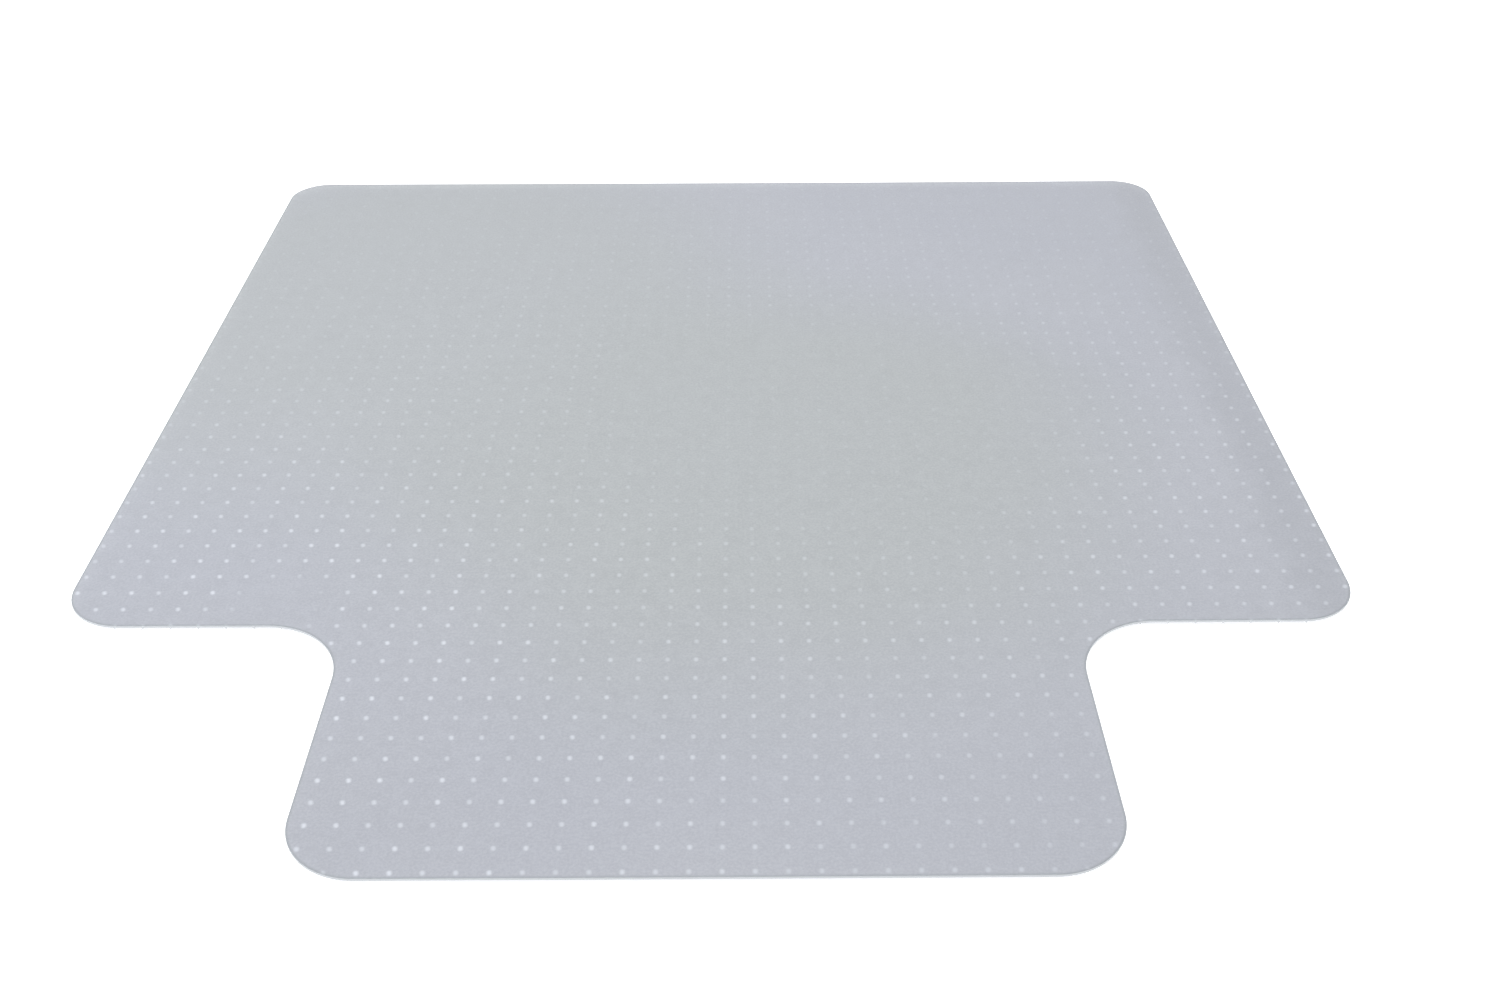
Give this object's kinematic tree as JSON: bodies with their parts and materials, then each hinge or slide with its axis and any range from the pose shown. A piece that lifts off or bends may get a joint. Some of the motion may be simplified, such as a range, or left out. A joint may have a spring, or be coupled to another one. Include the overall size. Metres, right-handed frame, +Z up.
{
  "type": "chair mat",
  "caption": "Translucent plastic floor mat for an office chair, T-shaped with a front lip that reaches under a desk, and studs beneath that grip carpet.",
  "frame": {"origin": "middle of the mat in plan, on the plane of the stud tips, which is the floor it stands on", "axes": "+Z up; -Y towards the front edge of the lip that goes under the desk; +X to the right when facing +Y"},
  "size_m": [1.2, 1.32, 0.0065],
  "materials": {
    "frosted_plastic": "fine-grained frosted translucent plastic, cool grey",
    "stud_plastic": "smooth clear plastic, slightly milky"
  },
  "bodies": {
    "root": {"mat_sheet": "frosted_plastic", "grip_studs": "stud_plastic"}
  },
  "joints": []
}
